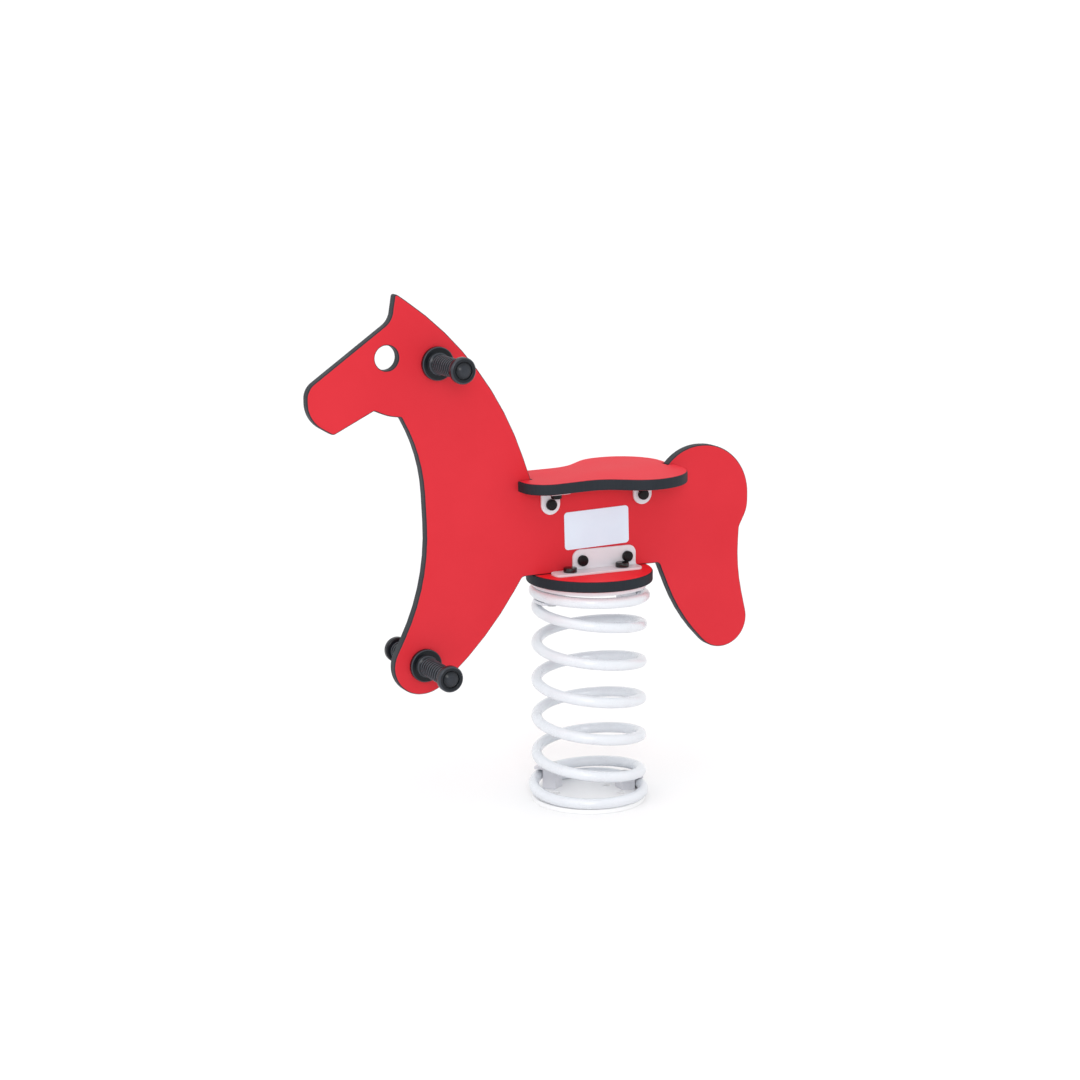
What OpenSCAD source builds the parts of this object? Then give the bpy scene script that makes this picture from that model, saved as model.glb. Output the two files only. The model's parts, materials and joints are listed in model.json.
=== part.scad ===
// Spring rider: a horse cut from plastic sheet with a seat, two pairs of pegs and a deck,
// rocking on one steel coil spring. The horse faces -X, the ground is z = 0 and the spring
// stands on the Z axis.

/* [Sheet] */
// Thickness of the plastic sheet of the panel, the seat and the deck
sheet_t = 19; // [15:1:22]
// Thickness of each coloured skin of the sheet
skin_t = 1; // [0.5:0.25:3]

/* [Horse panel] */
// Reach of the nose in front of the spring axis
nose_reach = 513.5; // [490:0.5:560]
// Reach of the rump behind the spring axis
rump_reach = 308; // [296:1:340]
// Height of the ear above the belly
head_rise = 490; // [470:1:540]
// Depth of the front leg below the belly
leg_drop = 183.5; // [170:0.5:200]
// Depth of the body from the belly to the seat
body_depth = 149.7; // [144:0.1:158]
// Free length of belly past the deck at each end
belly_margin = 22; // [16:1:26]
// Diameter of the eye hole
eye_d = 41; // [25:1:55]

/* [Seat] */
// Reach of the seat in front of the spring axis
seat_front = 140; // [134:1:160]
// Reach of the seat behind the spring axis
seat_rear = 158; // [152:1:180]
// Width of the seat at its widest place
seat_w = 242; // [226:1:260]
// Rise of the seat towards the rear, in degrees
seat_tilt = 1.3; // [0:0.1:2]
// Side play of the panel in the slots of the seat
slot_play = 0.5; // [0.3:0.1:1.5]
// Distance of the front seat brackets from the spring axis
seat_bracket_front_x = 81; // [66:1:86]
// Distance of the rear seat brackets from the spring axis
seat_bracket_rear_x = 95; // [80:1:108]

/* [Deck] */
// Diameter of the round deck
deck_d = 218; // [212:1:232]
// Spacing along the horse of the bolts in the deck and in both steel discs
bolt_spacing_x = 100; // [94:1:106]
// Spacing across the horse of the bolts in the deck and in both steel discs
bolt_spacing_y = 52; // [52:0.5:56]

/* [Spring] */
// Outside diameter of the coil
spring_d = 200; // [194:1:206]
// Diameter of the spring wire
wire_d = 18.5; // [16:0.5:20]
// Height of the spring between the two discs
spring_h = 373.5; // [360:0.5:400]
// Angle that the wire turns through from tip to tip
wire_turn = 2566; // [2550:2:2590]
// Growth of the coil radius in the end turns
end_flare = 4.5; // [3:0.5:6]

/* [Discs and clips] */
// Diameter of the disc on the ground
base_d = 198; // [190:1:208]
// Diameter of the disc under the deck
top_d = 198; // [190:1:208]
// Thickness of both discs
disc_t = 8; // [6:0.5:12]
// Diameter of the anchor holes in the disc on the ground
anchor_d = 13; // [10:0.5:15]
// Thickness of the clip noses that hold the end turns
clip_t = 5; // [4:0.5:6]

/* [Pegs] */
// Length of a peg from the panel to its end
peg_reach = 108; // [95:1:120]
// Diameter of the peg flange on the panel
flange_d = 56; // [50:1:60]
// Diameter of the peg end
peg_end_d = 44; // [42:1:50]
// Diameter of the ribbed grip
grip_d = 32; // [29:1:34]
// Number of ribs on a grip
rib_count = 14; // [8:1:16]
// Diameter of the rods through the pegs
rod_d = 10; // [8:0.5:11]

/* [Brackets] */
// Thickness of the bracket plate
plate_t = 4; // [3:0.5:4]
// Width of a seat bracket
seat_bracket_w = 35; // [30:1:38]
// Depth of a seat bracket under the seat
seat_bracket_depth = 44; // [40:1:50]
// Drop of the seat bracket bolts below the seat
seat_bolt_drop = 27; // [25:0.5:32]
// Length of the belly bracket along the horse
belly_bracket_l = 166; // [158:1:176]
// Depth of the belly bracket on the deck
belly_bracket_depth = 35; // [32:0.5:40]
// Height of the belly bracket
belly_bracket_h = 38; // [37:0.5:46]

/* [Fasteners] */
// Diameter of the smaller bolts
small_bolt_d = 8; // [6:0.5:8.5]
// Diameter of the larger bolts
large_bolt_d = 10; // [8:0.5:10]

/* [Hidden] */
$fn = 64;

skin_colour = "#d8343c";
core_colour = "#3c4148";
white_paint = "#e9ebef";
black_plastic = "#1c1d21";
peg_plastic = "#2e3238";
zinc = "#b9bdc2";
brass = "#b59a5a";

// Cuts run past the faces that they open by this much
overrun = 1;
// Most of an outline's edge that its two roundings may take
edge_share = 0.99;
// Steps of the arcs in the outlines and in the turned profiles, in degrees
arc_step = 5;
turned_step = 15;
// Play between a bolt and its hole, and between a thread and its nut
hole_play = 1;
thread_play = 0.2;
// Bolts end this far past their nuts, or short of the end of a threaded hole
bolt_tip = 1;

// Levels, from the ground up
base_top = disc_t;
spring_top = base_top + spring_h;
deck_bottom = spring_top + disc_t;
belly_z = deck_bottom + sheet_t;
saddle_z = belly_z + body_depth;
face_y = sheet_t / 2;

// Sizes of heads, nuts and cover caps follow the bolt diameter
head_d_share = 1.7;
head_h_share = 0.55;
socket_share = 0.6;
nut_af_share = 1.65;
nut_h_share = 0.8;
thin_nut_h_share = 0.5;
cap_d_share = 2.35;
cap_side_share = 0.45;
cap_hollow_share = 1.94;
cap_rise = 3;
cap_gap = 0.6;
corner_share = 1 / cos(30);
function head_h(d) = d * head_h_share;
function nut_h(d) = d * nut_h_share;
function thin_nut_h(d) = d * thin_nut_h_share;
function hole_d(d) = d + hole_play;

// Outline of the horse: place along it, place above or below the belly, rounding.
// Places forward are shares of the nose reach, backward of the rump reach, upward of the
// head rise and downward of the leg drop. Roundings are shares of the head rise.
head_shares = [[-0.699, 1, 0.008], [-0.713, 0.908, 0.065], [-1, 0.6975, 0.063], [-1, 0.594, 0.102],
               [-0.913, 0.540, 0.018], [-0.774, 0.612, 0.006], [-0.7265, 0.590, 0.184],
               [-0.6825, 0.584, 0.006]];
front_leg_shares = [[-0.612, 0.455, 0.580], [-0.590, 0.0115, 0.775], [-0.778, -1, 0.102],
                    [-0.5745, -1, 0.112], [-0.380, -0.544, 1.220]];
rear_leg_shares = [[0.5614, -0.542, 0.645], [0.767, -0.888, 0.104], [1.045, -0.888, 0.102],
                   [0.935, -0.1105, 0.673]];
rump_shares = [[0.947, 0.103, 0.037], [1, 0.168, 0.122], [1, 0.411, 0.188], [0.565, 0.411, 0.176]];
neck_shares = [[-0.3685, 0.764, 1.130]];
saddle_front_share = -0.2247;
saddle_rear_share = 0.480;
belly_round = 8;
saddle_round = 0.8;
notch_round = 0.5;
eye_shares = [-0.7295, 0.786];
handle_shares = [-0.558, 0.759];
footrest_shares = [-0.6085, -0.7265];
function along(share) = share * (share < 0 ? nose_reach : rump_reach);
function above(share) = belly_z + share * (share < 0 ? leg_drop : head_rise);
function spot(s) = [along(s[0]), above(s[1])];
function placed(table) = [for (s = table) concat(spot(s), s[2] * head_rise)];

// The seat and what hangs from it tilt about the spring axis at the height of the saddle. It lies
// in a notch of the panel as deep as the sheet.
function on_seat(x, z) = [x * cos(seat_tilt) - z * sin(seat_tilt),
                          saddle_z + x * sin(seat_tilt) + z * cos(seat_tilt)];
function saddle_spot(share) = concat(on_seat(along(share), 0), saddle_round);
function notch_spot(share) = concat(on_seat(along(share), sheet_t), notch_round);

// Outline of one half of the seat, front to rear: shares of the reach and of half the width
seat_shares = [[-1, 0.603, 0.285], [-0.093, 0.570, 0.443], [0.316, 1, 0.414], [1, 1, 0.531]];
slot_end_gap = 1;
slot_front_x = along(saddle_front_share) + slot_end_gap;
slot_rear_x = along(saddle_rear_share) - slot_end_gap;
function seat_along(share) = share * (share < 0 ? seat_front : seat_rear);
function seat_side(side) = [for (s = seat_shares)
    [seat_along(s[0]), side * s[1] * seat_w / 2, s[2] * seat_rear]];

// Places of the fasteners of the seat
seat_xs = [-seat_bracket_front_x, seat_bracket_rear_x];
seat_bolt_spots = [for (x = seat_xs) on_seat(x, -seat_bolt_drop)];
screw_share = 0.58;
seat_screw_y = face_y + screw_share * seat_bracket_depth;
insert_d = 12;
insert_l = 13;

// Places of the fasteners of the deck and the belly brackets
deck_spots = [for (x = [-1, 1], y = [-1, 1]) [x * bolt_spacing_x / 2, y * bolt_spacing_y / 2]];
upright_share = 0.73;
upright_inset_share = 0.145;
upright_l = belly_bracket_l * upright_share;
upright_inset = upright_l * upright_inset_share;
belly_rear_x = belly_bracket_l / 2;
upright_x = belly_rear_x - upright_l;
belly_bolt_z = belly_z + belly_bracket_h / 2;
belly_bolt_spots = [for (x = [upright_x + upright_inset, belly_rear_x - upright_inset])
    [x, belly_bolt_z]];
flange_near_round = 12;
flange_front_round = 14;
upright_round = 14;

// Spring: from its lower tip the wire lies level, then climbs with a growing pitch, so that the
// second turn just clears the first, and from there at an even pitch. The upper half is the lower
// half turned over about the line at the flip angle. Only the first turn at the foot stays level
// for longer.
tip_angle = 100.5;
level_turn = 60;
rest_turn = 200;
tip_dip = 3.8;
first_gap = 1.72;
flare_from_turn = 310;
flare_to_turn = 450;
rings_per_turn = 24;
wire_sides = 10;
wire_r = wire_d / 2;
coil_r = (spring_d - wire_d) / 2;
half_climb = spring_h / 2 - wire_r;
half_turn = wire_turn / 2 - level_turn;
first_rise = wire_d + first_gap - tip_dip;
ramp_turn = half_turn - sqrt(pow(half_turn, 2) - half_climb / first_rise * pow(360 - level_turn, 2));
ramp_end_turn = level_turn + ramp_turn;
flip_angle = tip_angle - wire_turn / 2;
pitch = half_climb * 360 / (half_turn - ramp_turn / 2);
function smooth(t) = let (c = max(0, min(1, t))) c * c * (3 - 2 * c);
function half_rise(a) = a < level_turn ? wire_r - tip_dip * (1 - a / level_turn)
    : a < ramp_end_turn ? wire_r + pitch / 360 * pow(a - level_turn, 2) / (2 * ramp_turn)
    : wire_r + pitch / 360 * (a - level_turn - ramp_turn / 2);
function rest_lift(a) = a < level_turn ? 1 : smooth((a - rest_turn) / (360 - rest_turn));
function foot_rise(a) = wire_r + (half_rise(a) - wire_r) * rest_lift(a);
function wire_rise(a) = a < wire_turn / 2 ? foot_rise(a) : spring_h - half_rise(wire_turn - a);
function wire_radius(a) = coil_r
    + end_flare * smooth((flare_to_turn - min(a, wire_turn - a)) / (flare_to_turn - flare_from_turn));
function wire_centre(a) = [wire_radius(a) * cos(tip_angle - a), wire_radius(a) * sin(tip_angle - a),
                           wire_rise(a)];
ring_count = round(wire_turn / 360 * rings_per_turn);
ring_angles = [for (i = [0:ring_count]) i * wire_turn / ring_count];

// Least gap between one turn and the next, measured between points on the wire's centre line
least_turn_gap = 0.4;
near_from = floor(rings_per_turn * 3 / 4);
near_to = ceil(rings_per_turn * 5 / 4);
wire_points = [for (a = ring_angles) wire_centre(a)];
turn_gap = min([for (i = [0:ring_count - near_from], k = [near_from:min(near_to, ring_count - i)])
    norm(wire_points[i + k] - wire_points[i])]) - wire_d;
echo(str("least gap between turns of the spring: ", turn_gap, " mm"));
assert(turn_gap > least_turn_gap, "the turns of the spring touch");

// Clips: a clip stands at an angle about the spring axis; its turn is how far the wire has come
// there from the nearer tip
clip_arc_angle = 24;
clip_play = 0.5;
clip_inner_r = 60;
clip_bolt_r = 72;
foot_clip_angles = [125, 0];
top_clip_angles = [180, 360];
function turned(a) = a - 360 * floor(a / 360);
foot_clip_turns = [for (a = foot_clip_angles) turned(tip_angle - a)];
top_clip_turns = [for (a = top_clip_angles) turned(a - 2 * flip_angle + tip_angle)];
function clip_angle(turn) = tip_angle - turn;
function over_wire(rise) = rise + wire_r + clip_play;
foot_noses = [for (turn = foot_clip_turns) over_wire(foot_rise(turn + clip_arc_angle / 2))];
top_noses = [for (turn = top_clip_turns) over_wire(half_rise(turn + clip_arc_angle / 2))];

// Pegs
flange_t = 8;
flange_round = 3.5;
collar_d = 37;
collar_h = 4;
peg_end_t = 13;
peg_end_round = 4.5;
rib_rise = 1.5;
rib_step = 45;
plug_d = 27;
plug_h = 4;
plug_seat = 2.5;
plug_play = 0.3;
nut_pocket_d = 22;
nut_pocket = 10;
rod_tip = 0.5;
grip_l = peg_reach - flange_t - collar_h - peg_end_t;
rib_pitch = grip_l / rib_count;
peg_nut_y = face_y + peg_reach - nut_pocket;
peg_nut_h = 6;

function unit(v) = v / norm(v);
function place(p) = [p[0], p[1]];
function half_angle(a, b, c) = acos(unit(place(a) - place(b)) * unit(place(c) - place(b))) / 2;

// Arc that rounds the corner b between its neighbours a and c; b is [x, y, radius]
function corner(a, b, c) = let (
    p = place(b),
    u = unit(place(a) - p),
    w = unit(place(c) - p),
    half = half_angle(a, b, c),
    middle = p + unit(u + w) * b[2] / sin(half),
    first = p + u * b[2] / tan(half) - middle,
    turn = (cross(u, w) < 0 ? 1 : -1) * (180 - 2 * half),
    start = atan2(first[1], first[0]),
    steps = max(2, ceil(abs(turn) / arc_step)))
    [for (i = [0:steps]) middle + b[2] * [cos(start + turn * i / steps), sin(start + turn * i / steps)]];

// Outline with every corner rounded; two roundings that would meet on an edge are both made smaller
function rounded(pts) = let (
    n = len(pts),
    spans = [for (i = [0:n - 1])
        pts[i][2] / tan(half_angle(pts[(i + n - 1) % n], pts[i], pts[(i + 1) % n]))],
    fits = [for (i = [0:n - 1]) let (k = (i + 1) % n)
        min(1, edge_share * norm(place(pts[k]) - place(pts[i])) / (spans[i] + spans[k]))])
    [for (i = [0:n - 1]) let (h = (i + n - 1) % n)
        each corner(pts[h], concat(place(pts[i]), pts[i][2] * min(fits[h], fits[i])), pts[(i + 1) % n])];

// Sheet cut to a plan outline and lying on z = 0: a dark core between two coloured skins
module sheet() {
    color(core_colour) translate([0, 0, skin_t]) linear_extrude(sheet_t - 2 * skin_t) children();
    color(skin_colour) for (z = [0, sheet_t - skin_t])
        translate([0, 0, z]) linear_extrude(skin_t) children();
}

// Round hole through a piece that fills z = 0 to h
module through(d, h) {
    translate([0, 0, -overrun]) cylinder(d = d, h = h + 2 * overrun);
}

// Hexagonal prism, measured across its flats
module hexagon(af, h) {
    cylinder(d = af * corner_share, h = h, $fn = 6);
}

// Bolt with a low round head over z = 0, a hexagonal socket in it and its shank downward
module socket_bolt(d, l) {
    difference() {
        cylinder(d = d * head_d_share, h = head_h(d));
        translate([0, 0, head_h(d) / 2]) hexagon(d * socket_share, head_h(d));
    }
    translate([0, 0, -l]) cylinder(d = d, h = l);
}

// Nut on z = 0
module hex_nut(d, h) {
    difference() {
        hexagon(d * nut_af_share, h);
        through(d + thread_play, h);
    }
}

// Hollow cover cap standing on z = 0 over a head or a thin nut
module cover_cap(d) {
    outer = d * cap_d_share / 2;
    height = head_h(d) + cap_rise;
    side = height * cap_side_share;
    crown = height - side;
    dome = [for (a = [0:turned_step:90]) [outer * cos(a), side + crown * sin(a)]];
    color(black_plastic) difference() {
        rotate_extrude() polygon(concat([[0, 0], [outer, 0]], dome));
        translate([0, 0, -overrun]) cylinder(d = d * cap_hollow_share, h = head_h(d) + cap_gap + overrun);
    }
}

// Points of a quarter round about a middle, from one angle to another
function quarter(middle, r, from, to) = [for (i = [0:90 / turned_step])
    let (a = from + (to - from) * i * turned_step / 90) middle + r * [cos(a), sin(a)]];

// One moulded peg on z = 0, bored for its rod and opened at its end for the nut and the plug
module peg() {
    flange_r = flange_d / 2;
    end_r = peg_end_d / 2;
    rib_r = grip_d / 2 - rib_rise;
    rib_z = flange_t + collar_h;
    ribs = [for (i = [0:rib_count - 1], a = [0:rib_step:180 - rib_step])
        [rib_r + rib_rise * sin(a), rib_z + rib_pitch * (i + a / 180)]];
    end_z = peg_reach - peg_end_t;
    outline = concat([[0, 0], [flange_r, 0]],
        quarter([flange_r - flange_round, flange_t - flange_round], flange_round, 0, 90),
        [[collar_d / 2, flange_t], [collar_d / 2, rib_z - rib_rise], [collar_d / 2 - rib_rise, rib_z]],
        ribs, [[rib_r, end_z]],
        quarter([end_r - peg_end_round, end_z + peg_end_round], peg_end_round, -90, 0),
        quarter([end_r - peg_end_round, peg_reach - peg_end_round], peg_end_round, 0, 90),
        [[0, peg_reach]]);
    color(peg_plastic) difference() {
        rotate_extrude() polygon(outline);
        through(hole_d(rod_d), peg_reach);
        translate([0, 0, peg_reach - nut_pocket]) cylinder(d = nut_pocket_d, h = nut_pocket + overrun);
        translate([0, 0, peg_reach - plug_seat]) cylinder(d = plug_d + plug_play, h = plug_seat + overrun);
    }
}

// Domed plug that closes the end of a peg over the nut
module peg_plug() {
    dome = [for (a = [0:turned_step:90]) [plug_d / 2 * cos(a), plug_seat + plug_h * sin(a)]];
    color(peg_plastic) translate([0, 0, peg_reach - plug_seat])
        rotate_extrude() polygon(concat([[0, 0], [plug_d / 2, 0]], dome));
}

// Rod through the panel and both pegs of a pair
module peg_rod() {
    length = 2 * (peg_nut_y + peg_nut_h + rod_tip);
    color(zinc) translate([0, 0, -length / 2]) cylinder(d = rod_d, h = length);
}
module peg_nuts() {
    color(zinc) for (side = [0, 1]) mirror([0, 0, side]) translate([0, 0, peg_nut_y])
        hex_nut(rod_d, peg_nut_h);
}

// Turns a piece built along Z to lie across the horse at a place; side -1 is the left, 1 the right
module across(place, side) {
    translate([place[0], 0, place[1]]) rotate([-90 * side, 0, 0]) children();
}
module on_face(place, side) {
    across(place, side) translate([0, 0, face_y]) children();
}

// Horse panel with the eye and the holes of the rods and the cross bolts
module horse_outline() {
    belly_x = deck_d / 2 + belly_margin;
    difference() {
        polygon(rounded(concat(placed(head_shares), placed(front_leg_shares),
            [[-belly_x, belly_z, belly_round], [belly_x, belly_z, belly_round]],
            placed(rear_leg_shares), placed(rump_shares),
            [notch_spot(saddle_rear_share), saddle_spot(saddle_rear_share),
             saddle_spot(saddle_front_share), notch_spot(saddle_front_share)],
            placed(neck_shares))));
        translate(spot(eye_shares)) circle(d = eye_d);
        for (s = [handle_shares, footrest_shares]) translate(spot(s)) circle(d = hole_d(rod_d));
        for (p = concat(seat_bolt_spots, belly_bolt_spots)) translate(p) circle(d = hole_d(small_bolt_d));
    }
}
module horse_panel() {
    translate([0, face_y, 0]) rotate([90, 0, 0]) sheet() horse_outline();
}

// Places a piece built about the underside of the seat
module at_seat() {
    translate([0, 0, saddle_z]) rotate([0, -seat_tilt, 0]) children();
}

// Seat with a slot at each end that straddles the neck and the rump
module seat_plate() {
    slot_w = sheet_t + 2 * slot_play;
    left = seat_side(-1);
    right = seat_side(1);
    at_seat() difference() {
        sheet() difference() {
            polygon(rounded(concat(left, [for (i = [len(right) - 1:-1:0]) right[i]])));
            translate([-seat_front - overrun, -slot_w / 2])
                square([seat_front + overrun + slot_front_x, slot_w]);
            translate([slot_rear_x, -slot_w / 2]) square([seat_rear + overrun - slot_rear_x, slot_w]);
        }
        for (x = seat_xs, side = [-1, 1]) translate([x, side * seat_screw_y, -overrun])
            cylinder(d = insert_d, h = insert_l + overrun);
    }
}
module deck_plate() {
    translate([0, 0, deck_bottom]) sheet() difference() {
        circle(d = deck_d, $fn = 128);
        for (p = deck_spots) translate(p) circle(d = hole_d(large_bolt_d));
    }
}

// Turns a piece built on the disc under the lower end of the spring over to its upper end
module at_top() {
    translate([0, 0, spring_top]) rotate(flip_angle) rotate([180, 0, 0]) rotate(-flip_angle) children();
}

// Steel disc under z = 0 with the bolt pattern and the threaded holes of its two clips
module disc(d, bolt_hole_d, clip_turns, turn_over) {
    color(white_paint) difference() {
        translate([0, 0, -disc_t]) cylinder(d = d, h = disc_t, $fn = 128);
        rotate(turn_over) for (p = deck_spots) translate([p[0], p[1], -disc_t]) through(bolt_hole_d, disc_t);
        for (turn = clip_turns) rotate(clip_angle(turn)) translate([clip_bolt_r, 0, -disc_t])
            through(large_bolt_d + thread_play, disc_t);
    }
}
module base_disc() {
    translate([0, 0, base_top]) disc(base_d, anchor_d, foot_clip_turns, 0);
}
module top_disc() {
    at_top() disc(top_d, hole_d(large_bolt_d), top_clip_turns, 2 * flip_angle);
}

// Clip standing on z = 0 inside the coil, its nose over the end turn
module clip(turn, nose) {
    coil_inner_r = (wire_radius(turn + clip_arc_angle / 2) - wire_r) * cos(180 / rings_per_turn);
    neck_r = coil_inner_r - clip_play;
    tip_r = wire_radius(turn) + wire_r / 2;
    color(white_paint) rotate(clip_angle(turn)) difference() {
        rotate(-clip_arc_angle / 2) rotate_extrude(angle = clip_arc_angle)
            polygon([[clip_inner_r, 0], [neck_r, 0], [neck_r, nose], [tip_r, nose],
                     [tip_r, nose + clip_t], [clip_inner_r, nose + clip_t]]);
        translate([clip_bolt_r, 0, 0]) through(hole_d(large_bolt_d), nose + clip_t);
    }
}
module clip_bolts(turns, noses) {
    color(zinc) for (i = [0:len(turns) - 1]) rotate(clip_angle(turns[i]))
        translate([clip_bolt_r, 0, noses[i] + clip_t])
            socket_bolt(large_bolt_d, noses[i] + clip_t + disc_t - bolt_tip);
}
module foot_clip_left() {
    translate([0, 0, base_top]) clip(foot_clip_turns[0], foot_noses[0]);
}
module foot_clip_right() {
    translate([0, 0, base_top]) clip(foot_clip_turns[1], foot_noses[1]);
}
module foot_clip_bolts() {
    translate([0, 0, base_top]) clip_bolts(foot_clip_turns, foot_noses);
}
module top_clip_front() {
    at_top() clip(top_clip_turns[0], top_noses[0]);
}
module top_clip_rear() {
    at_top() clip(top_clip_turns[1], top_noses[1]);
}
module top_clip_bolts() {
    at_top() clip_bolts(top_clip_turns, top_noses);
}

// Spring: one tube along the wire, ground flat where it meets the discs
module spring() {
    function id(i, k) = i * wire_sides + k % wire_sides;
    sides = [0:wire_sides - 1];
    rings = [for (a = ring_angles, k = sides)
        let (turn = 360 * k / wire_sides, r = wire_radius(a) + wire_r * cos(turn))
        [r * cos(tip_angle - a), r * sin(tip_angle - a),
         max(0, min(spring_h, wire_rise(a) + wire_r * sin(turn)))]];
    points = concat(rings, [wire_points[0], wire_points[ring_count]]);
    lower = len(rings);
    upper = lower + 1;
    faces = concat(
        [for (i = [0:ring_count - 1], k = sides) [id(i, k), id(i, k + 1), id(i + 1, k + 1)]],
        [for (i = [0:ring_count - 1], k = sides) [id(i, k), id(i + 1, k + 1), id(i + 1, k)]],
        [for (k = sides) [lower, id(0, k + 1), id(0, k)]],
        [for (k = sides) [upper, id(ring_count, k), id(ring_count, k + 1)]]);
    color(white_paint) translate([0, 0, base_top]) polyhedron(points, faces);
}

// Belly bracket on the left side: a flange on the deck and an upright on the panel
module belly_bracket() {
    front = -belly_bracket_l / 2;
    rear = belly_rear_x;
    near = -face_y - belly_bracket_depth;
    top = belly_z + belly_bracket_h;
    flange = concat([[rear, -face_y]],
        corner([rear, -face_y], [front, -face_y, flange_front_round], [front, near]),
        corner([front, -face_y], [front, near, flange_near_round], [rear, near]),
        corner([front, near], [rear, near, flange_near_round], [rear, -face_y]));
    upright = concat([[upright_x, belly_z], [rear, belly_z]],
        corner([rear, belly_z], [rear, top, upright_round], [upright_x, top]),
        corner([rear, top], [upright_x, top, upright_round], [upright_x, belly_z]));
    color(white_paint) difference() {
        union() {
            translate([0, 0, belly_z]) linear_extrude(plate_t) polygon(flange);
            translate([0, -face_y, 0]) rotate([90, 0, 0]) linear_extrude(plate_t) polygon(upright);
        }
        for (p = deck_spots) translate([p[0], p[1], belly_z]) through(hole_d(large_bolt_d), plate_t);
        for (p = belly_bolt_spots) on_face(p, -1) through(hole_d(small_bolt_d), plate_t);
    }
}
module belly_bracket_left() {
    belly_bracket();
}
module belly_bracket_right() {
    mirror([0, 1, 0]) belly_bracket();
}

// Seat bracket on the left side, built about the underside of the seat: a flange and a round tab
module seat_bracket(x) {
    half = seat_bracket_w / 2;
    color(white_paint) difference() {
        union() {
            translate([x - half, -face_y - seat_bracket_depth, -plate_t])
                cube([seat_bracket_w, seat_bracket_depth, plate_t]);
            translate([x - half, -face_y - plate_t, -seat_bolt_drop])
                cube([seat_bracket_w, plate_t, seat_bolt_drop]);
            on_face([x, -seat_bolt_drop], -1) cylinder(d = seat_bracket_w, h = plate_t);
        }
        on_face([x, -seat_bolt_drop], -1) through(hole_d(small_bolt_d), plate_t);
        translate([x, -seat_screw_y, -plate_t]) through(hole_d(small_bolt_d), plate_t);
    }
}
module seat_bracket_front_left() {
    at_seat() seat_bracket(seat_xs[0]);
}
module seat_bracket_front_right() {
    mirror([0, 1, 0]) at_seat() seat_bracket(seat_xs[0]);
}
module seat_bracket_rear_left() {
    at_seat() seat_bracket(seat_xs[1]);
}
module seat_bracket_rear_right() {
    mirror([0, 1, 0]) at_seat() seat_bracket(seat_xs[1]);
}

// Bolts across the panel through a bracket on each side: heads on the left, thin nuts on the right
module cross_bolts(spots) {
    length = 2 * (face_y + plate_t) + thin_nut_h(small_bolt_d);
    color(zinc) for (p = spots) on_face(p, -1) translate([0, 0, plate_t]) socket_bolt(small_bolt_d, length);
}
module cross_nuts(spots) {
    color(zinc) for (p = spots) on_face(p, 1) translate([0, 0, plate_t])
        hex_nut(small_bolt_d, thin_nut_h(small_bolt_d));
}
module cross_caps(spots) {
    for (p = spots, side = [-1, 1]) on_face(p, side) translate([0, 0, plate_t]) cover_cap(small_bolt_d);
}
module belly_bolts() {
    cross_bolts(belly_bolt_spots);
}
module belly_nuts() {
    cross_nuts(belly_bolt_spots);
}
module belly_caps() {
    cross_caps(belly_bolt_spots);
}
module seat_cross_bolts() {
    cross_bolts(seat_bolt_spots);
}
module seat_cross_nuts() {
    cross_nuts(seat_bolt_spots);
}
module seat_cross_caps() {
    cross_caps(seat_bolt_spots);
}

// Bolts down through the belly brackets, the deck and the top disc, with nuts under it
module deck_bolts() {
    grip = plate_t + sheet_t + disc_t;
    color(zinc) for (p = deck_spots) translate([p[0], p[1], belly_z + plate_t])
        socket_bolt(large_bolt_d, grip + nut_h(large_bolt_d) + bolt_tip);
}
module deck_nuts() {
    color(zinc) for (p = deck_spots) translate([p[0], p[1], spring_top - nut_h(large_bolt_d)])
        hex_nut(large_bolt_d, nut_h(large_bolt_d));
}
module deck_caps() {
    for (p = deck_spots) translate([p[0], p[1], belly_z + plate_t]) cover_cap(large_bolt_d);
}

// Screws up through the seat brackets into threaded inserts in the seat
module at_screws() {
    at_seat() for (x = seat_xs, side = [-1, 1]) translate([x, side * seat_screw_y, 0]) children();
}
module seat_inserts() {
    color(brass) at_screws() difference() {
        cylinder(d = insert_d - thread_play, h = insert_l - thread_play);
        translate([0, 0, -overrun]) cylinder(d = small_bolt_d + thread_play, h = insert_l);
    }
}
module seat_screws() {
    color(zinc) at_screws() translate([0, 0, -plate_t]) mirror([0, 0, 1])
        socket_bolt(small_bolt_d, plate_t + insert_l - 2 * bolt_tip);
}
module seat_screw_caps() {
    at_screws() translate([0, 0, -plate_t]) mirror([0, 0, 1]) cover_cap(small_bolt_d);
}

module handle_rod() {
    across(spot(handle_shares), 1) peg_rod();
}
module handle_grip_left() {
    on_face(spot(handle_shares), -1) peg();
}
module handle_grip_right() {
    on_face(spot(handle_shares), 1) peg();
}
module handle_nuts() {
    across(spot(handle_shares), 1) peg_nuts();
}
module handle_plug_left() {
    on_face(spot(handle_shares), -1) peg_plug();
}
module handle_plug_right() {
    on_face(spot(handle_shares), 1) peg_plug();
}
module footrest_rod() {
    across(spot(footrest_shares), 1) peg_rod();
}
module footrest_grip_left() {
    on_face(spot(footrest_shares), -1) peg();
}
module footrest_grip_right() {
    on_face(spot(footrest_shares), 1) peg();
}
module footrest_nuts() {
    across(spot(footrest_shares), 1) peg_nuts();
}
module footrest_plug_left() {
    on_face(spot(footrest_shares), -1) peg_plug();
}
module footrest_plug_right() {
    on_face(spot(footrest_shares), 1) peg_plug();
}

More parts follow.
